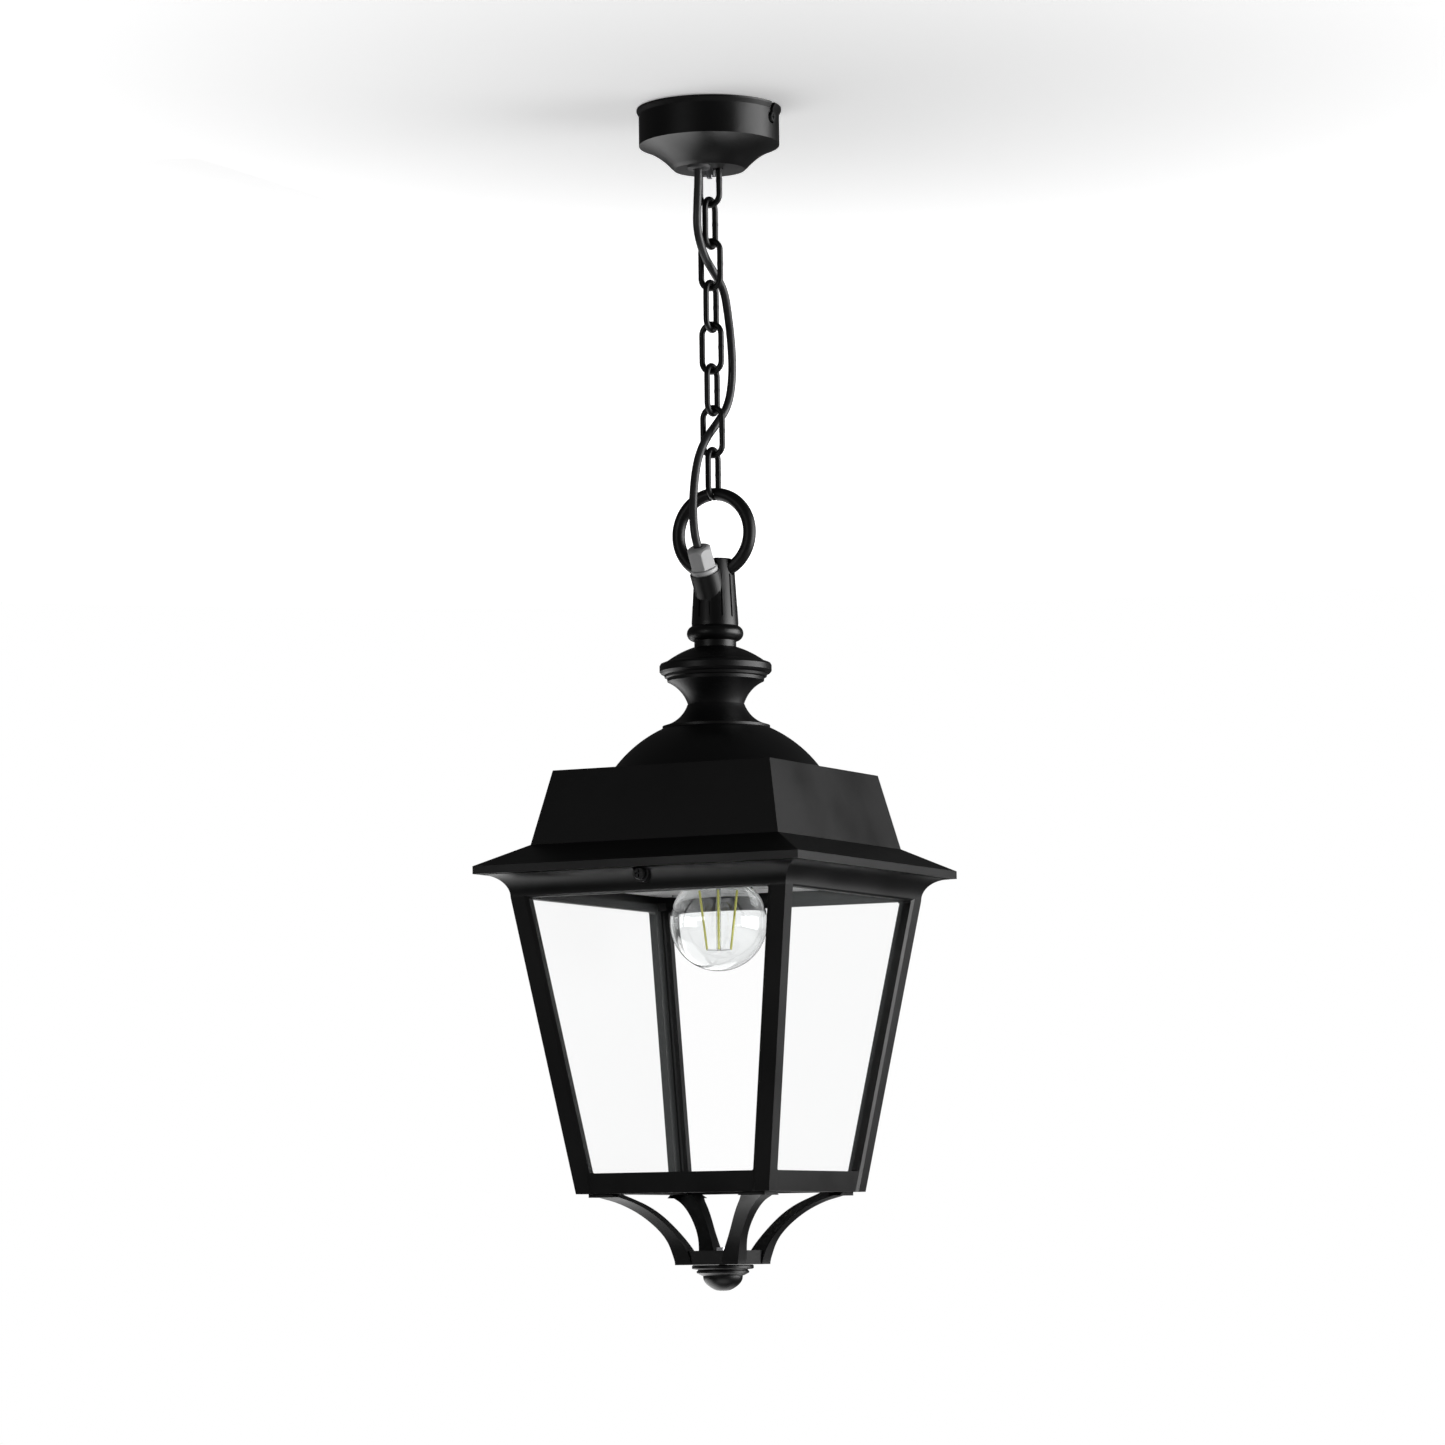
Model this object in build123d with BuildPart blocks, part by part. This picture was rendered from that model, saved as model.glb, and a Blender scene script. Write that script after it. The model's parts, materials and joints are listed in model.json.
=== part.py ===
from build123d import *
import os
from math import atan, cos, pi, radians, sin, sqrt, tan

# Hanging lantern: ceiling rose, chain, ring, cast roof and glazed cage on a hinge.
# Millimetres. The origin is on the ceiling, on the lantern's axis, and Z points up.
# The gland and the latch screw face -Y; the cage is hinged along its +Y edge.

os.makedirs("parts", exist_ok=True)

# ---- driving dimensions -------------------------------------------------------------
# ceiling rose
rose_radius = 58.4
rose_rim_radius = 60.2
rose_shoulder_z = -31.0
rose_floor_z = -51.3
rose_floor_radius = 29.5
rose_wall = 2.4
side_screw_z = -13.0
tab_x = 54.9
ceiling_slot_pitch = 70.0

# chain and ring
wire_diameter = 4.9
link_inner_length = 35.1
link_inner_width = 12.8
chain_pitch = 35.0
link_count = 8
first_link_z = -61.2
ring_centre_z = -356.5
ring_radius = 33.0
ring_wire = 10.6
ring_clearance = 0.85
saddle_clearance = 0.65

# turned column above the roof
neck_top_z = -378.1
bead_z = -439.6
neck_base_z = -451.2
neck_screw_y = 11.0
waist_z = -498.4
collar_radius = 44.3
dome_sphere_radius = 105.6
dome_foot_radius = 87.5
roof_top_z = -554.8
tube_radius = 6.5
tube_bore = 4.5

# roof and eave, as half widths of a square
roof_top_half = 99.0
roof_foot_half = 112.6
roof_foot_z = -615.7
eave_half = 147.2
eave_z = -633.6
eave_lip_z = -640.0
roof_wall = 3.0

# glazed cage
cage_top_z = -640.5
cove_radius = 18.0
cage_shoulder_half = 124.8
cage_foot_half = 87.6
cage_foot_z = -898.6
leg_width = 16.0
bevel_width = 3.2
bevel_depth = 1.5
bracket_screw_at = 74.0
screw_radius = 1.5
screw_head_radius = 2.9
screw_head = 1.4
screw_sunk = 0.1
sill_top_z = -895.6
cage_wall = 8.0
rail_height = 16.6
pane_thickness = 3.0

# hinge and latch
hinge_y = 141.5
hinge_z = -645.7
hinge_pin_radius = 1.6
running_gap = 0.06
knuckle_radius = 3.4
latch_z = -645.0
latch_face = 134.0
latch_shank = 2.2

# lamp
bulb_radius = 40.0
bulb_centre_z = -677.6
reflector_z = -647.0

# bottom bracket and finial
bracket_half = 80.0
pad_foot_z = -901.5
hub_half = 28.8
hub_step = 1.2
hub_top_z = -945.2
hub_base_z = -956.6
finial_top_z = -956.8
finial_tip_z = -977.8

# ---- values worked out from them ----------------------------------------------------
wire_radius = wire_diameter / 2
bar_offset = (link_inner_length + wire_diameter) / 2
link_bend = (link_inner_width + wire_diameter) / 2
ring_wire_radius = ring_wire / 2
link_z = [first_link_z - chain_pitch * i for i in range(link_count)]
cove_shoulder_z = cage_top_z - cove_radius
cage_slope = (cage_shoulder_half - cage_foot_half) / (cove_shoulder_z - cage_foot_z)
dome_centre_z = roof_top_z - sqrt(dome_sphere_radius**2 - dome_foot_radius**2)
collar_base_z = dome_centre_z + sqrt(dome_sphere_radius**2 - collar_radius**2)
tube_hole = tube_radius + 0.05


def cage_half(z):
    """Half width of the cage's outer face at height z."""
    return cage_foot_half + cage_slope * (z - cage_foot_z)


def save(builder, name):
    builder.part.label = name
    export_step(builder.part, f"parts/{name}.step")


# ---- ceiling rose -------------------------------------------------------------------
with BuildPart() as ceiling_bracket:
    with BuildSketch(Plane.XY.offset(-2.0)):
        Rectangle(2 * tab_x, 22.0)
    extrude(amount=2.0)
    for side in (-1, 1):
        with BuildSketch(Plane.YZ.offset(side * tab_x)):
            with Locations((0, -10.0)):
                RectangleRounded(22.0, 20.0, 3.0)
            with Locations((0, side_screw_z)):
                Circle(1.9, mode=Mode.SUBTRACT)
        extrude(amount=-side * 2.5)
    with BuildSketch(Plane.XY):
        with Locations((-ceiling_slot_pitch / 2, 0), (ceiling_slot_pitch / 2, 0)):
            SlotOverall(12.0, 5.0)
    extrude(amount=-2.0, mode=Mode.SUBTRACT)

with BuildPart() as rose_cover:
    with BuildSketch(Plane.XZ):
        with BuildLine():
            Polyline(
                (0, rose_floor_z),
                (rose_floor_radius, rose_floor_z),
                (32.0, -49.0),
            )
            Spline((32.0, -49.0), (41.0, -40.6), (51.0, -34.2), (rose_radius, rose_shoulder_z))
            Polyline(
                (rose_radius, rose_shoulder_z),
                (rose_radius, -5.5),
                (rose_rim_radius, -2.0),
                (rose_rim_radius, -0.4),
                (rose_radius - 0.6, -0.4),
                (rose_radius - rose_wall, -5.0),
                (rose_radius - rose_wall, rose_shoulder_z + 1.4),
            )
            Spline(
                (rose_radius - rose_wall, rose_shoulder_z + 1.4),
                (48.8, -32.2),
                (39.2, -38.4),
                (30.6, rose_floor_z + 2.5),
            )
            Line((30.6, rose_floor_z + 2.5), (0, rose_floor_z + 2.5))
            Line((0, rose_floor_z + 2.5), (0, rose_floor_z))
        make_face()
    revolve(axis=Axis.Z)
    # round keyholes for the side screws, each with a slot up through the rim
    with BuildSketch(Plane.YZ):
        with Locations((0, side_screw_z)):
            Circle(5.4)
        with Locations((0, side_screw_z / 2)):
            Rectangle(4.8, -side_screw_z)
    extrude(amount=70.0, both=True, mode=Mode.SUBTRACT)
    # slot for the first link and hole for the cable grommet
    with BuildSketch(Plane.XY.offset(rose_floor_z)):
        SlotOverall(25.0, 6.6)
        with Locations((0, -19.5)):
            Circle(6.0)
    extrude(amount=4.0, mode=Mode.SUBTRACT)

with BuildPart() as rose_side_screws:
    for side in (-1, 1):
        with BuildSketch(Plane.YZ.offset(side * 48.0)):
            with Locations((0, side_screw_z)):
                Circle(1.9)
        extrude(amount=side * 9.6)
        with BuildSketch(Plane.YZ.offset(side * 57.6)):
            with Locations((0, side_screw_z)):
                Circle(4.4)
        extrude(amount=side * 2.6, taper=14)
        with BuildSketch(Plane.YZ.offset(side * 60.2)):
            with Locations((0, side_screw_z)):
                Rectangle(4.2, 1.0)
                Rectangle(1.0, 4.2)
        extrude(amount=-side * 1.6, mode=Mode.SUBTRACT)

# the bar that carries the first link: its top is rounded about the link's own bend
hanger_pivot_z = first_link_z + bar_offset - link_bend
with BuildPart() as hanger_bar:
    with BuildSketch(Plane.XZ):
        with Locations((0, hanger_pivot_z)):
            Circle(link_bend - wire_radius - 0.3)
        with Locations((0, rose_floor_z + 2.5 + 10.0)):
            Rectangle(10.0, 20.0, mode=Mode.INTERSECT)
    extrude(amount=11.5, both=True)
    with BuildSketch(Plane.XY.offset(hanger_pivot_z)):
        Circle(2.4)
    extrude(amount=20.0, both=True, mode=Mode.SUBTRACT)

with BuildPart() as hanger_stud:
    with BuildSketch(Plane.XY.offset(rose_floor_z - 7.3)):
        Circle(2.4)
    extrude(amount=14.2)
    chamfer(hanger_stud.faces().sort_by(Axis.Z)[0].edges(), 0.5)

with BuildPart() as hanger_washer:
    with BuildSketch(Plane.XY.offset(rose_floor_z - 1.0)):
        Circle(4.9)
        Circle(2.4, mode=Mode.SUBTRACT)
    extrude(amount=1.0)

with BuildPart() as hanger_nut:
    with BuildSketch(Plane.XY.offset(rose_floor_z - 5.0)):
        RegularPolygon(4.0, 6, major_radius=False, rotation=30)
        Circle(2.4, mode=Mode.SUBTRACT)
    extrude(amount=4.0)

with BuildPart() as cable_grommet:
    with BuildSketch(Plane.XZ.offset(19.5)):
        with BuildLine():
            Polyline(
                (3.6, rose_floor_z + 4.5),
                (7.6, rose_floor_z + 4.5),
                (7.6, rose_floor_z + 2.5),
                (6.0, rose_floor_z + 2.5),
                (6.0, rose_floor_z),
                (9.7, rose_floor_z),
                (9.7, rose_floor_z - 2.2),
                (8.9, rose_floor_z - 3.0),
                (4.6, rose_floor_z - 3.0),
                (3.6, rose_floor_z - 1.6),
                close=True,
            )
        make_face()
    revolve(axis=Axis((0, -19.5, 0), (0, 0, 1)))

block_foot_z = -17.0
block_ways = (-9.0, 0, 9.0)
with BuildPart() as terminal_block:
    with BuildSketch(Plane.XY.offset(block_foot_z)):
        RectangleRounded(30.0, 17.0, 1.5)
    extrude(amount=15.0)
    with BuildSketch(Plane.XZ.offset(8.5)):
        with Locations(*[(x, -11.0) for x in block_ways]):
            Circle(2.0)
    extrude(amount=-12.0, mode=Mode.SUBTRACT)
    with BuildSketch(Plane.XY.offset(block_foot_z)):
        with Locations(*[(x, -3.0) for x in block_ways]):
            Circle(1.5)
    extrude(amount=3.5, mode=Mode.SUBTRACT)

with BuildPart() as terminal_screws:
    with BuildSketch(Plane.XY.offset(block_foot_z + 1.2)):
        with Locations(*[(x, -3.0) for x in block_ways]):
            Circle(1.5)
    extrude(amount=2.3)
    with BuildSketch(Plane.XY.offset(block_foot_z + 1.2)):
        with Locations(*[(x, -3.0) for x in block_ways]):
            Rectangle(3.0, 0.6)
    extrude(amount=0.8, mode=Mode.SUBTRACT)

# ---- chain --------------------------------------------------------------------------
for index, z in enumerate(link_z):
    plane = Plane.XZ if index % 2 == 0 else Plane.YZ
    straight = bar_offset - link_bend
    with BuildPart() as chain_link:
        with BuildLine(plane) as link_path:
            Line((-link_bend, z - straight), (-link_bend, z + straight))
            ThreePointArc(
                (-link_bend, z + straight), (0, z + bar_offset), (link_bend, z + straight)
            )
            Line((link_bend, z + straight), (link_bend, z - straight))
            ThreePointArc(
                (link_bend, z - straight), (0, z - bar_offset), (-link_bend, z - straight)
            )
        with BuildSketch(Plane(origin=link_path.line @ 0, z_dir=link_path.line % 0)):
            Circle(wire_radius)
        sweep()
    save(chain_link, f"chain_link_{index + 1}")

# ---- ring ---------------------------------------------------------------------------
last_bar_z = link_z[-1] - bar_offset
with BuildPart() as ring:
    with Locations((0, 0, ring_centre_z)):
        Torus(ring_radius, ring_wire_radius, rotation=(90, 0, 0))
    # saddle under the top, bent like the last link that lies in it
    with Locations((0, 0, last_bar_z - 5.0)):
        Box(2 * (wire_radius + saddle_clearance), 16.0, 10.0, mode=Mode.SUBTRACT)
    with Locations((0, 0, last_bar_z + link_bend)):
        Torus(link_bend, wire_radius + saddle_clearance, rotation=(0, 90, 0), mode=Mode.SUBTRACT)

# ---- neck, gland and column ---------------------------------------------------------
gland_tilt = 30.0
gland_top = Vector(0, -28.3, -370.4)
gland_direction = Vector(0, -sin(radians(gland_tilt)), cos(radians(gland_tilt)))
gland_height = 22.5
gland_flange = 3.8
gland_flange_radius = 11.2
nut_foot = 4.4
nut_half_flats = 9.7
boss_top = gland_top - gland_direction * gland_height
boss_plane = Plane(origin=boss_top, x_dir=(1, 0, 0), z_dir=gland_direction)
neck_bore_top_z = -408.0

neck_taper = atan((19.3 - 16.2) / 51.5)
flute_radius = 18.0
flute_z = -409.0
flute_planes = []
for step in range(12):
    turn = radians(15 + 30 * step)
    flute_planes.append(
        Plane(
            origin=(flute_radius * cos(turn), flute_radius * sin(turn), flute_z),
            x_dir=(-sin(neck_taper) * cos(turn), -sin(neck_taper) * sin(turn), cos(neck_taper)),
            z_dir=(cos(neck_taper) * cos(turn), cos(neck_taper) * sin(turn), sin(neck_taper)),
        )
    )

with BuildPart() as neck:
    with BuildSketch(Plane.XZ):
        with BuildLine():
            Polyline(
                (0, neck_base_z),
                (17.3, neck_base_z),
                (17.3, bead_z - 6.2),
            )
            ThreePointArc((17.3, bead_z - 6.2), (23.3, bead_z), (19.1, bead_z + 6.2))
            Polyline(
                (19.1, bead_z + 6.2),
                (19.3, bead_z + 9.0),
                (16.2, neck_top_z - 1.0),
                (15.2, neck_top_z),
                (0, neck_top_z),
                (0, neck_base_z),
            )
        make_face()
    revolve(axis=Axis.Z)
    # twelve flutes with round ends, sunk along the neck's slope
    with BuildSketch(*flute_planes):
        SlotOverall(36.0, 2.0)
    extrude(amount=1.0, both=True, mode=Mode.SUBTRACT)
    # inclined boss for the cable gland
    with BuildSketch(boss_plane):
        Circle(12.6)
    extrude(amount=-26.0)
    with BuildSketch(boss_plane):
        Circle(12.0)
    extrude(amount=26.0, mode=Mode.SUBTRACT)
    with BuildSketch(boss_plane):
        Circle(7.0)
    extrude(amount=-9.0, mode=Mode.SUBTRACT)
    with BuildSketch(boss_plane):
        Circle(4.4)
    extrude(amount=-34.0, mode=Mode.SUBTRACT)
    # central bore for the tube, and the curved way through the head for the ring
    with BuildSketch(Plane.XY.offset(neck_base_z)):
        Circle(tube_radius)
    extrude(amount=neck_bore_top_z - neck_base_z, mode=Mode.SUBTRACT)
    with Locations((0, 0, ring_centre_z)):
        Torus(
            ring_radius, ring_wire_radius + ring_clearance, rotation=(90, 0, 0),
            mode=Mode.SUBTRACT,
        )
    with BuildSketch(Plane.XY.offset(neck_top_z)):
        with Locations((0, neck_screw_y)):
            Circle(1.6)
    extrude(amount=-9.0, mode=Mode.SUBTRACT)

with BuildPart() as neck_screw:
    with BuildSketch(Plane.XY.offset(neck_top_z - 9.0)):
        with Locations((0, neck_screw_y)):
            Circle(1.6)
    extrude(amount=9.0)
    with BuildSketch(Plane.XY.offset(neck_top_z)):
        with Locations((0, neck_screw_y)):
            Circle(3.4)
    extrude(amount=2.6)
    fillet(neck_screw.faces().sort_by(Axis.Z)[-1].edges(), 1.2)
    with BuildSketch(Plane.XY.offset(neck_top_z + 2.6)):
        with Locations((0, neck_screw_y)):
            Rectangle(6.8, 0.9)
    extrude(amount=-1.0, mode=Mode.SUBTRACT)

with BuildPart() as gland_body:
    with BuildSketch(boss_plane):
        Circle(gland_flange_radius)
    extrude(amount=gland_flange)
    fillet(gland_body.faces().sort_by(Axis.Z)[-1].edges(), 0.6)
    with BuildSketch(boss_plane.offset(gland_flange)):
        Circle(7.6)
    extrude(amount=13.5 - gland_flange)
    with BuildSketch(boss_plane):
        Circle(7.0)
    extrude(amount=-8.5)
    with BuildSketch(boss_plane.offset(-8.5)):
        Circle(3.8)
    extrude(amount=30.0, mode=Mode.SUBTRACT)
    with BuildSketch(boss_plane.offset(8.5)):
        Circle(5.6)
    extrude(amount=6.0, mode=Mode.SUBTRACT)

with BuildPart() as gland_seal:
    with BuildSketch(boss_plane.offset(8.5)):
        Circle(5.5)
        Circle(3.6, mode=Mode.SUBTRACT)
    extrude(amount=7.0)

with BuildPart() as nut_dome:
    with BuildSketch(boss_plane.offset(nut_foot)):
        Circle(11.0)
    extrude(amount=gland_height - nut_foot)
    fillet(nut_dome.edges().sort_by(Axis.Z)[-1], 5.0)
with BuildPart() as gland_nut:
    with BuildSketch(boss_plane.offset(nut_foot)):
        RegularPolygon(nut_half_flats, 6, major_radius=False, rotation=0)
    extrude(amount=gland_height - nut_foot)
    add(nut_dome.part, mode=Mode.INTERSECT)
    with BuildSketch(boss_plane.offset(nut_foot)):
        Circle(7.9)
    extrude(amount=15.9 - nut_foot, mode=Mode.SUBTRACT)
    with BuildSketch(boss_plane.offset(nut_foot)):
        Circle(3.9)
    extrude(amount=20.0, mode=Mode.SUBTRACT)

with BuildPart() as knob:
    with BuildSketch(Plane.XZ):
        with BuildLine():
            Polyline(
                (tube_hole, waist_z),
                (tube_hole, neck_base_z),
                (18.6, neck_base_z),
            )
            ThreePointArc((18.6, neck_base_z), (30.6, -456.4), (40.4, -462.6))
            Polyline(
                (40.4, -462.6),
                (45.2, -464.4),
                (46.2, -466.2),
                (46.2, -470.8),
                (44.8, -472.6),
                (42.6, -473.6),
                (42.0, -475.6),
                (40.2, -476.4),
                (39.8, -479.0),
            )
            ThreePointArc((39.8, -479.0), (28.8, -487.4), (23.0, waist_z))
            Line((23.0, waist_z), (tube_hole, waist_z))
        make_face()
    revolve(axis=Axis.Z)

with BuildPart() as collar:
    with BuildSketch(Plane.XZ):
        with BuildLine():
            Polyline(
                (tube_hole, collar_base_z),
                (tube_hole, waist_z),
                (23.6, waist_z),
            )
            ThreePointArc((23.6, waist_z), (29.6, -508.0), (41.6, -515.2))
            Polyline(
                (41.6, -515.2),
                (collar_radius, -516.0),
                (collar_radius, collar_base_z),
                (tube_hole, collar_base_z),
            )
        make_face()
    revolve(axis=Axis.Z)

dome_wall = 3.0
with BuildPart() as dome:
    with BuildSketch(Plane.XZ):
        with Locations((0, dome_centre_z)):
            Circle(dome_sphere_radius)
            Circle(dome_sphere_radius - dome_wall, mode=Mode.SUBTRACT)
        with Locations((50.0, (roof_top_z + collar_base_z) / 2)):
            Rectangle(100.0, collar_base_z - roof_top_z, mode=Mode.INTERSECT)
    revolve(axis=Axis.Z)
    # crown plate under the collar, and a pillar that takes the clamping load
    with BuildSketch(Plane.XY.offset(collar_base_z - dome_wall)):
        Circle(collar_radius - 3.0)
    extrude(amount=dome_wall)
    with BuildSketch(Plane.XY.offset(roof_top_z)):
        Circle(14.0)
    extrude(amount=collar_base_z - roof_top_z)
    with BuildSketch(Plane.XY.offset(roof_top_z)):
        Circle(tube_hole)
    extrude(amount=60.0, mode=Mode.SUBTRACT)

tube_top_z = -424.0
tube_foot_z = -590.0
with BuildPart() as tie_tube:
    with BuildSketch(Plane.XY.offset(tube_foot_z)):
        Circle(tube_radius)
        Circle(tube_bore, mode=Mode.SUBTRACT)
    extrude(amount=tube_top_z - tube_foot_z)

with BuildPart() as tie_washer:
    with BuildSketch(Plane.XY.offset(roof_top_z - roof_wall - 2.0)):
        Circle(16.0)
        Circle(tube_radius, mode=Mode.SUBTRACT)
    extrude(amount=2.0)

with BuildPart() as tie_nut:
    with BuildSketch(Plane.XY.offset(roof_top_z - roof_wall - 9.0)):
        RegularPolygon(10.0, 6, major_radius=False)
        Circle(tube_radius, mode=Mode.SUBTRACT)
    extrude(amount=7.0)
    chamfer(tie_nut.faces().sort_by(Axis.Z)[0].edges().filter_by(GeomType.LINE), 0.6)

# ---- roof ---------------------------------------------------------------------------
lug_width = 16.0
lug_slot = latch_shank + 0.4
lug_inner_y = -116.0
lug_outer_y = -119.0
lug_foot_z = -652.0
lug_top_z = -619.5
plate_pillar = 84.0
plate_thickness = 1.5
plate_screw_radius = 1.6

with BuildPart() as roof:
    with BuildSketch(Plane.XY.offset(roof_top_z)):
        Rectangle(2 * roof_top_half, 2 * roof_top_half)
    with BuildSketch(Plane.XY.offset(roof_foot_z)):
        Rectangle(2 * roof_foot_half, 2 * roof_foot_half)
    loft()
    with BuildSketch(Plane.XY.offset(roof_foot_z)):
        Rectangle(2 * roof_foot_half, 2 * roof_foot_half)
    with BuildSketch(Plane.XY.offset(eave_z)):
        Rectangle(2 * eave_half, 2 * eave_half)
    loft()
    with BuildSketch(Plane.XY.offset(eave_z)):
        Rectangle(2 * eave_half, 2 * eave_half)
    extrude(amount=eave_lip_z - eave_z)
    inner_top = roof_top_half - roof_wall
    inner_foot = roof_foot_half - roof_wall
    inner_eave = eave_half - 8.0
    with BuildSketch(Plane.XY.offset(roof_top_z - roof_wall)):
        Rectangle(2 * inner_top, 2 * inner_top)
    with BuildSketch(Plane.XY.offset(roof_foot_z - 1.0)):
        Rectangle(2 * inner_foot, 2 * inner_foot)
    loft(mode=Mode.SUBTRACT)
    with BuildSketch(Plane.XY.offset(roof_foot_z - 1.0)):
        Rectangle(2 * inner_foot, 2 * inner_foot)
    with BuildSketch(Plane.XY.offset(eave_z - 1.5)):
        Rectangle(2 * inner_eave, 2 * inner_eave)
    loft(mode=Mode.SUBTRACT)
    with BuildSketch(Plane.XY.offset(eave_z - 1.5)):
        Rectangle(2 * inner_eave, 2 * inner_eave)
    extrude(amount=eave_lip_z - eave_z, mode=Mode.SUBTRACT)
    with BuildSketch(Plane.XY.offset(roof_top_z)):
        Circle(tube_hole)
    extrude(amount=-10.0, mode=Mode.SUBTRACT)
    # pillars that carry the reflector plate
    with BuildSketch(Plane.XY.offset(reflector_z + plate_thickness)):
        with GridLocations(2 * plate_pillar, 2 * plate_pillar, 2, 2):
            Circle(4.5)
    extrude(amount=roof_top_z - roof_wall + 0.5 - reflector_z - plate_thickness)
    with BuildSketch(Plane.XY.offset(reflector_z + plate_thickness)):
        with GridLocations(2 * plate_pillar, 2 * plate_pillar, 2, 2):
            Circle(plate_screw_radius)
    extrude(amount=12.0, mode=Mode.SUBTRACT)
    # latch lug with a slot open downwards
    with BuildSketch(Plane.XZ.offset(-lug_inner_y)):
        with BuildLine():
            Polyline(
                (-lug_width / 2, lug_foot_z),
                (-lug_width / 2, lug_top_z),
                (lug_width / 2, lug_top_z),
                (lug_width / 2, lug_foot_z),
                (lug_slot, lug_foot_z),
                (lug_slot, latch_z),
            )
            ThreePointArc((lug_slot, latch_z), (0, latch_z + lug_slot), (-lug_slot, latch_z))
            Polyline((-lug_slot, latch_z), (-lug_slot, lug_foot_z), (-lug_width / 2, lug_foot_z))
        make_face()
    extrude(amount=lug_inner_y - lug_outer_y)
    # outer knuckles of the hinge, on tabs under the back edge of the eave
    for x in (-62.0, -38.0, 38.0, 62.0):
        with BuildSketch(Plane.YZ.offset(x - 5.0)):
            with Locations((hinge_y, hinge_z)):
                Circle(knuckle_radius)
            with BuildLine():
                Polyline(
                    (hinge_y + 0.6, hinge_z + knuckle_radius - 0.1),
                    (hinge_y + 1.7, eave_lip_z + 0.5),
                    (eave_half - 0.2, eave_lip_z + 0.5),
                    (eave_half - 0.2, eave_lip_z - 1.0),
                    (hinge_y + knuckle_radius, hinge_z),
                    (hinge_y, hinge_z),
                    close=True,
                )
            make_face()
            with Locations((hinge_y, hinge_z)):
                Circle(hinge_pin_radius, mode=Mode.SUBTRACT)
        extrude(amount=10.0)

# ---- cage ---------------------------------------------------------------------------
window_top_z = cove_shoulder_z - 0.5
window_foot_z = cage_foot_z + rail_height
ledge_z = -655.0
rim_inner_half = 120.8
sill_opening_half = 68.0


face_tilt = atan(cage_slope)
face_turns = {"left": -90, "right": 0, "back_right": 90, "back_left": 180}


def square(half):
    Rectangle(2 * half, 2 * half)


def face_plane(turn, depth):
    """Plane of a cage face, depth mm in from the outside, x across and y up the slope."""
    out_x, out_y = cos(radians(turn)), sin(radians(turn))
    return Plane(
        origin=(cage_foot_half * out_x, cage_foot_half * out_y, cage_foot_z),
        x_dir=(-out_y, out_x, 0),
        z_dir=(cos(face_tilt) * out_x, cos(face_tilt) * out_y, -sin(face_tilt)),
    ).offset(-depth)


def face_field(margin, top_z):
    """Corners of the field between two legs on a face plane."""
    foot, top = -2.0, (top_z - cage_foot_z) / cos(face_tilt)
    foot_across = cage_half(cage_foot_z - 2.0) - margin
    top_across = cage_half(top_z) - margin
    return ((-foot_across, foot), (foot_across, foot), (top_across, top), (-top_across, top))


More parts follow.
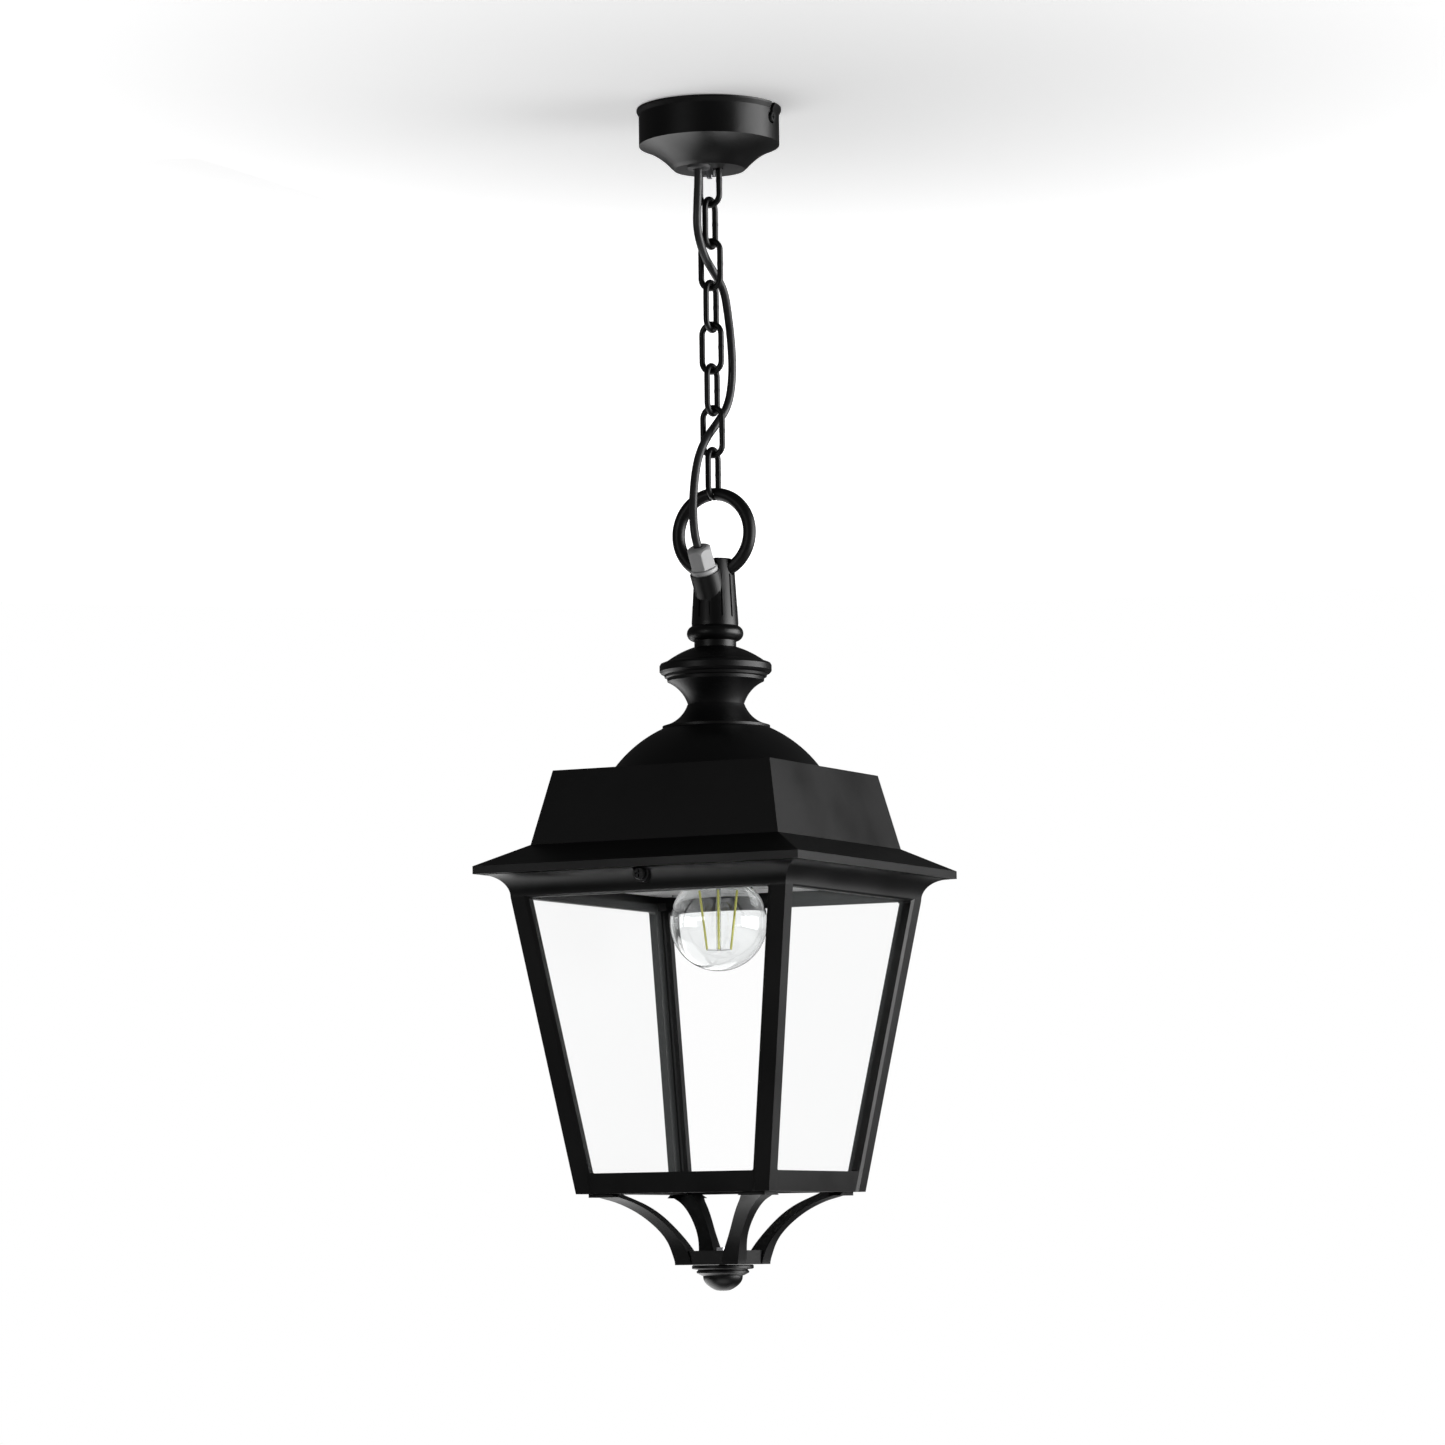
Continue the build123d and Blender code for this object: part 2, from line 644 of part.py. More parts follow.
with BuildPart() as cage_frame:
    # outer faces, tapering down, under a cove that flares out to the eave
    with BuildSketch(Plane.XY.offset(cove_shoulder_z)):
        square(cage_shoulder_half)
    with BuildSketch(Plane.XY.offset(cage_foot_z)):
        square(cage_foot_half)
    loft()
    cove_half = cage_shoulder_half + cove_radius
    with BuildSketch(Plane.XY.offset(cove_shoulder_z)):
        square(cove_half)
    extrude(amount=cove_radius)
    for plane in (Plane.XZ, Plane.YZ):
        for side in (-1, 1):
            with BuildSketch(plane):
                with Locations((side * cove_half, cove_shoulder_z)):
                    Circle(cove_radius)
            extrude(amount=cove_half + 1.0, both=True, mode=Mode.SUBTRACT)
    # hollow inside, open at the top and at the foot
    with BuildSketch(Plane.XY.offset(cage_top_z)):
        square(rim_inner_half)
    extrude(amount=ledge_z - cage_top_z, mode=Mode.SUBTRACT)
    with BuildSketch(Plane.XY.offset(ledge_z)):
        square(cage_half(ledge_z) - cage_wall)
    with BuildSketch(Plane.XY.offset(cage_foot_z)):
        square(cage_foot_half - cage_wall)
    loft(mode=Mode.SUBTRACT)
    # four windows
    top_half = cage_half(window_top_z) - leg_width
    foot_half = cage_half(window_foot_z) - leg_width
    for plane in (Plane.XZ, Plane.YZ):
        with BuildSketch(plane):
            with BuildLine():
                Polyline(
                    (-foot_half, window_foot_z),
                    (foot_half, window_foot_z),
                    (top_half, window_top_z),
                    (-top_half, window_top_z),
                    close=True,
                )
            window = make_face()
            fillet(window.vertices(), 1.5)
        extrude(amount=200.0, both=True, mode=Mode.SUBTRACT)
    # the faces between the legs stand back, with a bevel along each leg
    for turn in face_turns.values():
        with BuildSketch(face_plane(turn, -0.01)):
            Polygon(*face_field(leg_width - bevel_width, window_top_z + bevel_depth), align=None)
        with BuildSketch(face_plane(turn, bevel_depth)):
            Polygon(*face_field(leg_width - 0.2, window_top_z), align=None)
        loft(mode=Mode.SUBTRACT)
    # sill that carries the bottom glass
    with BuildSketch(Plane.XY.offset(cage_foot_z)):
        square(cage_foot_half - cage_wall + 0.5)
        Rectangle(2 * sill_opening_half, 2 * sill_opening_half, mode=Mode.SUBTRACT)
        with GridLocations(2 * bracket_screw_at, 2 * bracket_screw_at, 2, 2):
            Circle(screw_radius, mode=Mode.SUBTRACT)
    extrude(amount=sill_top_z - cage_foot_z)
    with BuildSketch(Plane.XY.offset(sill_top_z)):
        with GridLocations(2 * bracket_screw_at, 2 * bracket_screw_at, 2, 2):
            Circle(screw_head_radius)
    extrude(amount=-screw_sunk - screw_head, mode=Mode.SUBTRACT)
    # boss and clearance hole for the latch screw
    with BuildSketch(Plane.XZ.offset(latch_face)):
        with Locations((0, latch_z)):
            Circle(7.0)
        with Locations((0, cage_top_z - 10.0)):
            Rectangle(20.0, 20.0, mode=Mode.INTERSECT)
    extrude(amount=rim_inner_half - latch_face)
    with BuildSketch(Plane.XZ.offset(latch_face)):
        with Locations((0, latch_z)):
            Circle(6.4)
    extrude(amount=12.0, mode=Mode.SUBTRACT)
    with BuildSketch(Plane.XZ.offset(latch_face)):
        with Locations((0, latch_z)):
            Circle(latch_shank + running_gap)
    extrude(amount=rim_inner_half - latch_face - 1.0, mode=Mode.SUBTRACT)
    # inner knuckles of the hinge
    for x in (-50.0, 50.0):
        with BuildSketch(Plane.YZ.offset(x - 6.6)):
            with Locations((hinge_y, hinge_z)):
                Circle(knuckle_radius)
            with BuildLine():
                Polyline(
                    (hinge_y, hinge_z + 2.6),
                    (129.0, hinge_z + 2.6),
                    (127.0, hinge_z - 2.8),
                    (hinge_y, hinge_z - 2.8),
                    close=True,
                )
            make_face()
            with Locations((hinge_y, hinge_z)):
                Circle(hinge_pin_radius + running_gap, mode=Mode.SUBTRACT)
        extrude(amount=13.2)

# side panes lie against the inside of the frame; the bottom pane lies on the sill
pane_foot_z = -893.4
pane_top_z = -654.0
pane_margin = 12.0
for side_name, turn in face_turns.items():
    foot = (pane_foot_z - cage_foot_z) / cos(face_tilt)
    top = (pane_top_z - cage_foot_z) / cos(face_tilt)
    foot_width = cage_half(pane_foot_z) - pane_margin
    top_width = cage_half(pane_top_z) - pane_margin
    with BuildPart() as pane:
        with BuildSketch(face_plane(turn, cage_wall)):
            with BuildLine():
                Polyline(
                    (-foot_width, foot),
                    (foot_width, foot),
                    (top_width, top),
                    (-top_width, top),
                    close=True,
                )
            make_face()
        extrude(amount=-pane_thickness)
    save(pane, f"pane_{side_name}")

with BuildPart() as pane_bottom:
    with BuildSketch(Plane.XY.offset(cage_foot_z + 3.0)):
        square(cage_foot_half - cage_wall - 0.3)
    extrude(amount=pane_thickness - 0.1)

# corner clips behind the panes, hidden by the rails
clip_height = 7.2
with BuildPart() as pane_clips:
    for clip_z in (-892.4, -658.0):
        half = cage_half(clip_z)
        for sx, sy in ((1, 1), (1, -1), (-1, 1), (-1, -1)):
            seat = half - cage_wall
            gap = half - pane_margin + 0.4
            near = seat - pane_thickness - 0.2
            far = half - leg_width
            with BuildSketch(Plane.XY.offset(clip_z)):
                with BuildLine():
                    Polyline(
                        (sx * seat, sy * seat),
                        (sx * seat, sy * gap),
                        (sx * near, sy * gap),
                        (sx * near, sy * far),
                        (sx * far, sy * near),
                        (sx * gap, sy * near),
                        (sx * gap, sy * seat),
                        close=True,
                    )
                make_face()
            extrude(amount=clip_height, dir=(sx * cage_slope, sy * cage_slope, 1))

with BuildPart() as hinge_pins:
    for x in (-50.0, 50.0):
        with BuildSketch(Plane.YZ.offset(x - 17.5)):
            with Locations((hinge_y, hinge_z)):
                Circle(hinge_pin_radius)
        extrude(amount=35.0)

with BuildPart() as latch_screw:
    with BuildSketch(Plane.XZ.offset(latch_face + 0.1)):
        with Locations((0, latch_z)):
            Circle(5.25)
    extrude(amount=3.3)
    fillet(latch_screw.faces().sort_by(Axis.Y)[0].edges(), 1.6)
    with BuildSketch(Plane.XZ.offset(latch_face + 3.4)):
        with Locations((0, latch_z)):
            Rectangle(6.0, 1.3)
            Rectangle(1.3, 6.0)
    extrude(amount=-2.0, mode=Mode.SUBTRACT)
    with BuildSketch(Plane.XZ.offset(latch_face + 0.1)):
        with Locations((0, latch_z)):
            Circle(latch_shank)
    extrude(amount=-24.0)

latch_nut_face = 115.2
with BuildPart() as latch_nut:
    with BuildSketch(Plane.XZ.offset(latch_nut_face)):
        with Locations((0, latch_z)):
            RegularPolygon(4.0, 6, major_radius=False)
            Circle(latch_shank, mode=Mode.SUBTRACT)
    extrude(amount=-3.6)

# ---- lampholder, reflector and bulb -------------------------------------------------
holder_foot_z = -632.0
holder_top_z = -578.0
cap_bore = 13.6
with BuildPart() as lampholder:
    with BuildSketch(Plane.XZ):
        with BuildLine():
            Polyline(
                (tube_radius, holder_top_z),
                (15.0, holder_top_z),
                (19.5, holder_top_z - 5.0),
                (19.5, -612.0),
                (20.6, -612.0),
                (20.6, -616.0),
                (19.5, -616.0),
                (19.5, holder_foot_z),
                (18.4, holder_foot_z),
                (18.4, -625.0),
                (cap_bore, -625.0),
                (cap_bore, -594.0),
                (tube_radius, -594.0),
                close=True,
            )
        make_face()
    revolve(axis=Axis.Z)

with BuildPart() as lampholder_contact:
    with BuildSketch(Plane.XY.offset(-597.0)):
        Circle(11.0)
    extrude(amount=3.0)
    with BuildSketch(Plane.XY.offset(-598.6)):
        Circle(3.0)
    extrude(amount=1.6)

with BuildPart() as reflector:
    with BuildSketch(Plane.XY.offset(reflector_z)):
        RectangleRounded(216.0, 216.0, 4.0)
        Circle(33.0, mode=Mode.SUBTRACT)
        with GridLocations(2 * plate_pillar, 2 * plate_pillar, 2, 2):
            Circle(plate_screw_radius, mode=Mode.SUBTRACT)
    extrude(amount=plate_thickness)

with BuildPart() as reflector_screws:
    with BuildSketch(Plane.XY.offset(reflector_z - 2.2)):
        with GridLocations(2 * plate_pillar, 2 * plate_pillar, 2, 2):
            Circle(3.4)
    extrude(amount=2.2)
    with BuildSketch(Plane.XY.offset(reflector_z - 2.2)):
        with GridLocations(2 * plate_pillar, 2 * plate_pillar, 2, 2):
            Rectangle(3.6, 0.8)
            Rectangle(0.8, 3.6)
    extrude(amount=1.2, mode=Mode.SUBTRACT)
    with BuildSketch(Plane.XY.offset(reflector_z)):
        with GridLocations(2 * plate_pillar, 2 * plate_pillar, 2, 2):
            Circle(plate_screw_radius)
    extrude(amount=plate_thickness + 11.0)

glass_neck = 17.0
glass_wall = 0.9
neck_joint_z = bulb_centre_z + sqrt(bulb_radius**2 - glass_neck**2)
inner_radius = bulb_radius - glass_wall
inner_neck = glass_neck - glass_wall
inner_joint_z = bulb_centre_z + sqrt(inner_radius**2 - inner_neck**2)
with BuildPart() as bulb_glass:
    with BuildSketch(Plane.XZ):
        with BuildLine():
            ThreePointArc(
                (0, bulb_centre_z - bulb_radius),
                (bulb_radius, bulb_centre_z),
                (glass_neck, neck_joint_z),
            )
            Line((glass_neck, neck_joint_z), (glass_neck, -634.5))
            Spline((glass_neck, -634.5), (15.6, -630.2), (12.6, -626.4))
            Polyline((12.6, -626.4), (11.8, -625.6), (11.8, -614.0), (10.9, -614.0))
            Polyline((10.9, -614.0), (10.9, -626.0), (14.6, -630.8), (inner_neck, -634.8))
            Line((inner_neck, -634.8), (inner_neck, inner_joint_z))
            ThreePointArc(
                (inner_neck, inner_joint_z),
                (inner_radius, bulb_centre_z),
                (0, bulb_centre_z - inner_radius),
            )
            Line((0, bulb_centre_z - inner_radius), (0, bulb_centre_z - bulb_radius))
        make_face()
    revolve(axis=Axis.Z)

thread_pitch = 3.6
thread_wire = 0.85
thread_ring = 12.7
with BuildPart() as bulb_cap:
    with BuildSketch(Plane.XZ):
        with BuildLine():
            Polyline(
                (11.8, -625.4),
                (12.9, -625.4),
                (12.9, -606.5),
                (9.0, -603.4),
                (4.6, -602.6),
                (4.6, -599.6),
                (3.0, -599.0),
                (0, -599.0),
                (0, -604.4),
                (8.6, -604.8),
                (11.8, -607.2),
                close=True,
            )
        make_face()
    revolve(axis=Axis.Z)
    for turn_index in range(5):
        with BuildSketch(Plane.XZ):
            with Locations((thread_ring, -624.0 + thread_pitch * turn_index)):
                Circle(thread_wire)
        revolve(axis=Axis.Z)

stem_radius = 1.9
with BuildPart() as bulb_stem:
    with BuildSketch(Plane.XZ):
        with BuildLine():
            Polyline((0, -614.5), (10.9, -614.5), (10.9, -616.0), (9.6, -618.0))
            Spline((9.6, -618.0), (5.0, -630.0), (3.2, -640.0), (stem_radius, -648.0))
            Polyline((stem_radius, -648.0), (stem_radius, -701.0), (0, -701.0), (0, -614.5))
        make_face()
    revolve(axis=Axis.Z)

filament_top_z = -652.0
filament_foot_z = -700.0
filament_top_ring = 17.8
filament_foot_ring = 11.2
filament_wire = 0.9
with BuildPart() as filaments:
    for step in range(6):
        turn = radians(60 * step - 3)
        with BuildLine():
            rod = Line(
                (filament_top_ring * cos(turn), filament_top_ring * sin(turn), filament_top_z),
                (filament_foot_ring * cos(turn), filament_foot_ring * sin(turn), filament_foot_z),
            )
        with BuildSketch(Plane(origin=rod @ 0, z_dir=rod % 0)):
            Circle(filament_wire)
        sweep(path=rod)

with BuildPart() as support_wires:
    for step in range(6):
        turn = radians(60 * step - 3)
        for ring_radius_at, z, lift in (
            (filament_top_ring, filament_top_z, 5.0),
            (filament_foot_ring, filament_foot_z, -0.6),
        ):
            with BuildLine():
                spoke = Line(
                    (1.2 * cos(turn), 1.2 * sin(turn), z + lift),
                    (ring_radius_at * cos(turn), ring_radius_at * sin(turn), z),
                )
            with BuildSketch(Plane(origin=spoke @ 0, z_dir=spoke % 0)):
                Circle(0.35)
            sweep(path=spoke)

# ---- bottom bracket and finial ------------------------------------------------------
stud_radius = 3.0
pad_inner = 62.0
arm_outside = (
    (hub_half, hub_base_z),
    (hub_half + 1.0, -950.0),
    (33.0, -938.5),
    (43.8, -921.5),
    (54.6, -911.4),
    (65.4, -904.9),
    (74.0, pad_foot_z),
)
arm_inside = (
    (14.6, hub_base_z),
    (15.2, -950.0),
    (20.0, -939.5),
    (27.5, -927.5),
    (36.0, -916.4),
    (47.0, -906.6),
    (60.0, cage_foot_z),
)
# side view of two opposite arms
with BuildSketch() as arm_outline:
    with BuildLine():
        Spline(*arm_outside, tangents=((0, 1), (2.4, 1)))
        Polyline(
            arm_outside[-1],
            (bracket_half, pad_foot_z),
            (bracket_half, cage_foot_z),
            arm_inside[-1],
        )
        Spline(*reversed(arm_inside), tangents=((-1.5, -1), (0, -1)))
        Line(arm_inside[0], arm_outside[0])
    make_face()
    mirror(about=Plane.YZ)

with BuildPart() as bottom_bracket:
    # the same side view extruded both ways across and intersected gives mitred arms
    with BuildSketch(Plane.XZ):
        add(arm_outline.sketch)
    extrude(amount=bracket_half, both=True)
    with BuildSketch(Plane.YZ):
        add(arm_outline.sketch)
    extrude(amount=bracket_half, both=True, mode=Mode.INTERSECT)
    # pads that take the screws from the sill
    pad_middle = (pad_inner + bracket_half) / 2
    with BuildSketch(Plane.XY.offset(pad_foot_z)):
        with GridLocations(2 * pad_middle, 2 * pad_middle, 2, 2):
            square((bracket_half - pad_inner) / 2)
    extrude(amount=cage_foot_z - pad_foot_z)
    # block that joins the arms' feet, set in a little from their outsides
    with BuildSketch(Plane.XY.offset(hub_base_z)):
        square(hub_half - hub_step)
    extrude(amount=hub_top_z - hub_base_z)
    with BuildSketch(Plane.XY.offset(hub_base_z)):
        Circle(stud_radius)
    extrude(amount=hub_top_z - hub_base_z, mode=Mode.SUBTRACT)
    with BuildSketch(Plane.XY.offset(cage_foot_z)):
        with GridLocations(2 * bracket_screw_at, 2 * bracket_screw_at, 2, 2):
            Circle(screw_radius)
    extrude(amount=pad_foot_z - cage_foot_z, mode=Mode.SUBTRACT)

# countersunk screws from inside the sill, flush under the bottom glass
with BuildPart() as bracket_screws:
    with BuildSketch(Plane.XY.offset(pad_foot_z + 0.2)):
        with GridLocations(2 * bracket_screw_at, 2 * bracket_screw_at, 2, 2):
            Circle(screw_radius)
    extrude(amount=sill_top_z - screw_sunk - pad_foot_z - 0.2)
    with BuildSketch(Plane.XY.offset(sill_top_z - screw_sunk - screw_head)):
        with GridLocations(2 * bracket_screw_at, 2 * bracket_screw_at, 2, 2):
            Circle(screw_head_radius)
    extrude(amount=screw_head)
    with BuildSketch(Plane.XY.offset(sill_top_z - screw_sunk)):
        with GridLocations(2 * bracket_screw_at, 2 * bracket_screw_at, 2, 2):
            Rectangle(3.0, 0.7)
            Rectangle(0.7, 3.0)
    extrude(amount=-0.8, mode=Mode.SUBTRACT)

with BuildPart() as finial:
    with BuildSketch(Plane.XZ):
        with BuildLine():
            Polyline(
                (stud_radius + running_gap, finial_top_z),
                (24.4, finial_top_z),
                (25.2, finial_top_z - 0.8),
                (25.2, finial_top_z - 2.8),
                (24.2, finial_top_z - 3.4),
                (20.4, finial_top_z - 3.8),
                (20.4, finial_top_z - 4.4),
                (21.4, finial_top_z - 5.0),
                (21.4, finial_top_z - 6.4),
                (17.6, finial_top_z - 8.4),
                (16.2, finial_top_z - 8.8),
            )
            Spline(
                (16.2, finial_top_z - 8.8),
                (14.0, finial_tip_z + 6.1),
                (8.1, finial_tip_z + 1.6),
                (0, finial_tip_z),
                tangents=((0, -1), (-1, 0)),
            )
            Polyline(
                (0, finial_tip_z),
                (0, finial_top_z - 12.2),
                (stud_radius + running_gap, finial_top_z - 12.2),
                (stud_radius + running_gap, finial_top_z),
            )
        make_face()
    revolve(axis=Axis.Z)

with BuildPart() as finial_stud:
    with BuildSketch(Plane.XY.offset(hub_base_z - 12.0)):
        Circle(stud_radius)
    extrude(amount=26.0)

with BuildPart() as finial_nut:
    with BuildSketch(Plane.XY.offset(hub_top_z)):
        RegularPolygon(5.0, 6, major_radius=False)
        Circle(stud_radius, mode=Mode.SUBTRACT)
    extrude(amount=2.5)

# ---- supply cable and its cores -----------------------------------------------------
cable_radius = 3.45
cable_route = [
    (0, -19.5, -30),
    (0, -19.5, -58),
    (-0.6, -21.4, -84),
    (-2.4, -19.5, -105),
    (-2.4, -7.4, -124.5),
    (-0.6, 6.0, -136.0),
    (3.4, 17.0, -149.5),
    (6.6, 17.8, -172),
    (10.3, 16.0, -198),
    (10.4, 17.2, -223),
    (4.6, 20.6, -246.5),
    (0.2, 8.8, -262.5),
    (-2.3, -6.6, -276.5),
    (-4.2, -18.6, -294),
    (-4.3, -26.0, -316),
    (-3.2, -31.0, -341),
    (-0.6, -33.4, -361.5),
    (0, -25.8, -374.7),
    (0, -8.3, -405.0),
]


def fillet_radii(route):
    """Largest arc at each inner point: 0.45 of the shorter run over the half turn's tangent."""
    points = [Vector(*point) for point in route]
    radii = []
    for before, here, after in zip(points, points[1:], points[2:]):
        run_in, run_out = here - before, after - here
        turn = radians(run_in.get_angle(run_out))
        radii.append(0.45 * min(run_in.length, run_out.length) / tan(turn / 2))
    return radii


cable_radii = fillet_radii(cable_route)
print("cable arc radii", [round(radius, 1) for radius in cable_radii])
with BuildPart() as supply_cable:
    with BuildLine() as cable_path:
        FilletPolyline(*cable_route, radius=cable_radii)
    with BuildSketch(Plane(origin=cable_route[0], z_dir=(0, 0, -1))):
        Circle(cable_radius)
    sweep(path=cable_path.wires()[0])
cable_length = cable_path.wires()[0].length
cable_section = pi * cable_radius**2
print("cable length", round(cable_length, 1))
print("cable volume", round(supply_cable.part.volume), round(cable_section * cable_length))

core_radius = 0.95
with BuildPart() as rose_cores:
    for x in block_ways:
        start = (x / 6, cable_route[0][1], cable_route[0][2])
        with BuildLine() as core_path:
            FilletPolyline(
                start,
                (x / 6, cable_route[0][1], cable_route[0][2] + 8.0),
                (x, -17.0, -11.0),
                (x, -3.4, -11.0),
                radius=4.0,
            )
        with BuildSketch(Plane(origin=start, z_dir=(0, 0, 1))):
            Circle(core_radius)
        sweep(path=core_path.wires()[0])

cable_end = Vector(*cable_route[-1])
core_foot_z = -591.0
with BuildPart() as lamp_cores:
    for turn in (90, 210, 330):
        offset_x = 1.7 * cos(radians(turn))
        offset_y = 1.7 * sin(radians(turn))
        start = cable_end + Vector(offset_x, offset_y, offset_y * tan(radians(gland_tilt)) - 0.3)
        with BuildLine() as core_path:
            FilletPolyline(
                start,
                (offset_x, offset_y, -419.4 + offset_y),
                (offset_x, offset_y, core_foot_z),
                radius=9.0,
            )
        with BuildSketch(Plane(origin=start, z_dir=core_path.wires()[0] % 0)):
            Circle(core_radius)
        sweep(path=core_path.wires()[0])

# ---- write the sub-parts ------------------------------------------------------------
finished = {
    "ceiling_bracket": ceiling_bracket,
    "rose_cover": rose_cover,
    "rose_side_screws": rose_side_screws,
    "hanger_bar": hanger_bar,
    "hanger_stud": hanger_stud,
    "hanger_washer": hanger_washer,
    "hanger_nut": hanger_nut,
    "cable_grommet": cable_grommet,
    "terminal_block": terminal_block,
    "terminal_screws": terminal_screws,
    "rose_cores": rose_cores,
    "ring": ring,
    "neck": neck,
    "neck_screw": neck_screw,
    "gland_body": gland_body,
    "gland_seal": gland_seal,
    "gland_nut": gland_nut,
    "supply_cable": supply_cable,
    "lamp_cores": lamp_cores,
    "knob": knob,
    "collar": collar,
    "dome": dome,
    "tie_tube": tie_tube,
    "tie_washer": tie_washer,
    "tie_nut": tie_nut,
    "roof": roof,
    "cage_frame": cage_frame,
    "pane_bottom": pane_bottom,
    "pane_clips": pane_clips,
    "hinge_pins": hinge_pins,
    "latch_screw": latch_screw,
    "latch_nut": latch_nut,
    "lampholder": lampholder,
    "lampholder_contact": lampholder_contact,
    "reflector": reflector,
    "reflector_screws": reflector_screws,
    "bulb_glass": bulb_glass,
    "bulb_cap": bulb_cap,
    "bulb_stem": bulb_stem,
    "filaments": filaments,
    "support_wires": support_wires,
    "bottom_bracket": bottom_bracket,
    "bracket_screws": bracket_screws,
    "finial": finial,
    "finial_stud": finial_stud,
    "finial_nut": finial_nut,
}
for name, builder in finished.items():
    save(builder, name)
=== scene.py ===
import bpy
import bmesh
import json
import math
from mathutils import Matrix, Vector

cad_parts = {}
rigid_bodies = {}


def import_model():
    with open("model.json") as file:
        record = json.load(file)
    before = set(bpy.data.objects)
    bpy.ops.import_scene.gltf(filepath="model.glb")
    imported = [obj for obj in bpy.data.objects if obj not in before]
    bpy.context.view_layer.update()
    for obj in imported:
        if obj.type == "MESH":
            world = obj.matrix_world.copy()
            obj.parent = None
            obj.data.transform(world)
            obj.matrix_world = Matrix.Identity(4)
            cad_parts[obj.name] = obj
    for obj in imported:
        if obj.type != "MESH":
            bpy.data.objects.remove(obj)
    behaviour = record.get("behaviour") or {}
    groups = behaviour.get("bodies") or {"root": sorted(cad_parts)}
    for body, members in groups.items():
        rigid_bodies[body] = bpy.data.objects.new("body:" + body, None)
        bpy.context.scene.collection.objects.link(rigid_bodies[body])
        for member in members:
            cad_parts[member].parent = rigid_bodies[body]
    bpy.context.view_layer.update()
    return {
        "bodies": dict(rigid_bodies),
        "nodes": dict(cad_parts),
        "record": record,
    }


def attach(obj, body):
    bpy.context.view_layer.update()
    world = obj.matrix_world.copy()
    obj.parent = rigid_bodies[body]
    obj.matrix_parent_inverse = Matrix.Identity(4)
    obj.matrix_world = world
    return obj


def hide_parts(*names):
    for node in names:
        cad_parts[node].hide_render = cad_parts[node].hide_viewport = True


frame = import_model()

scene = bpy.context.scene
nodes = frame["nodes"]
bodies = frame["bodies"]
mm = 0.001

# --- camera ---
print("camera")
camera = {
    "place": (2.0048, -3.8525, -0.9495),
    "azimuth": 27.424,  # degrees, 0 looks along +Y
    "pitch": 5.739,
    "roll": -0.706,
    "lens": 132.2,
    "sensor": 36.0,
    "clip": (0.05, 60),
}


def makeCamera(c):
    az, pitch, roll = (math.radians(c[k]) for k in ("azimuth", "pitch", "roll"))
    forward = Vector((-math.sin(az) * math.cos(pitch), math.cos(az) * math.cos(pitch), math.sin(pitch)))
    right = Vector((math.cos(az), math.sin(az), 0))
    up = right.cross(forward)
    sideways = right * math.cos(roll) + up * math.sin(roll)
    upward = up * math.cos(roll) - right * math.sin(roll)
    data = bpy.data.cameras.new("camera")
    data.lens, data.sensor_width = c["lens"], c["sensor"]
    data.clip_start, data.clip_end = c["clip"]
    cam = bpy.data.objects.new("camera", data)
    turn = Matrix((sideways, upward, -forward)).transposed().to_4x4()
    cam.matrix_world = Matrix.Translation(c["place"]) @ turn
    scene.collection.objects.link(cam)
    scene.camera = cam


makeCamera(camera)

# --- material helpers ---


def newMaterial(name, color, roughness, **sockets):
    mat = bpy.data.materials.new(name)
    mat.use_nodes = True
    shader = mat.node_tree.nodes["Principled BSDF"]
    shader.inputs["Base Color"].default_value = (*color, 1)
    shader.inputs["Roughness"].default_value = roughness
    for label, value in sockets.items():
        shader.inputs[label.replace("_", " ")].default_value = value
    return mat


def noiseAt(mat, scale, detail):
    tree = mat.node_tree
    place = tree.nodes.new("ShaderNodeTexCoord")
    noise = tree.nodes.new("ShaderNodeTexNoise")
    noise.inputs["Scale"].default_value = scale
    noise.inputs["Detail"].default_value = detail
    tree.links.new(place.outputs["Object"], noise.inputs["Vector"])
    return noise.outputs["Fac"]


def spread(mat, source, low, high, fromLow=0.3, fromHigh=0.7):
    node = mat.node_tree.nodes.new("ShaderNodeMapRange")
    for label, value in (("From Min", fromLow), ("From Max", fromHigh), ("To Min", low), ("To Max", high)):
        node.inputs[label].default_value = value
    mat.node_tree.links.new(source, node.inputs["Value"])
    return node.outputs["Result"]


# a Mix node's colour sockets share their names with its number sockets, so they go by index
mixSockets = {"factor": 0, "first": 6, "second": 7, "result": 2}


def blendColor(mat, factor, first, second):
    node = mat.node_tree.nodes.new("ShaderNodeMix")
    node.data_type = "RGBA"
    node.inputs[mixSockets["first"]].default_value = (*first, 1)
    node.inputs[mixSockets["second"]].default_value = (*second, 1)
    mat.node_tree.links.new(factor, node.inputs[mixSockets["factor"]])
    return node.outputs[mixSockets["result"]]


def plug(mat, output, socket):
    mat.node_tree.links.new(output, mat.node_tree.nodes["Principled BSDF"].inputs[socket])


def bump(mat, height, distance, strength, under=None):
    node = mat.node_tree.nodes.new("ShaderNodeBump")
    node.inputs["Distance"].default_value = distance
    node.inputs["Strength"].default_value = strength
    mat.node_tree.links.new(height, node.inputs["Height"])
    if under:
        mat.node_tree.links.new(under, node.inputs["Normal"])
    plug(mat, node.outputs["Normal"], "Normal")
    return node.outputs["Normal"]


# --- materials ---
print("materials")
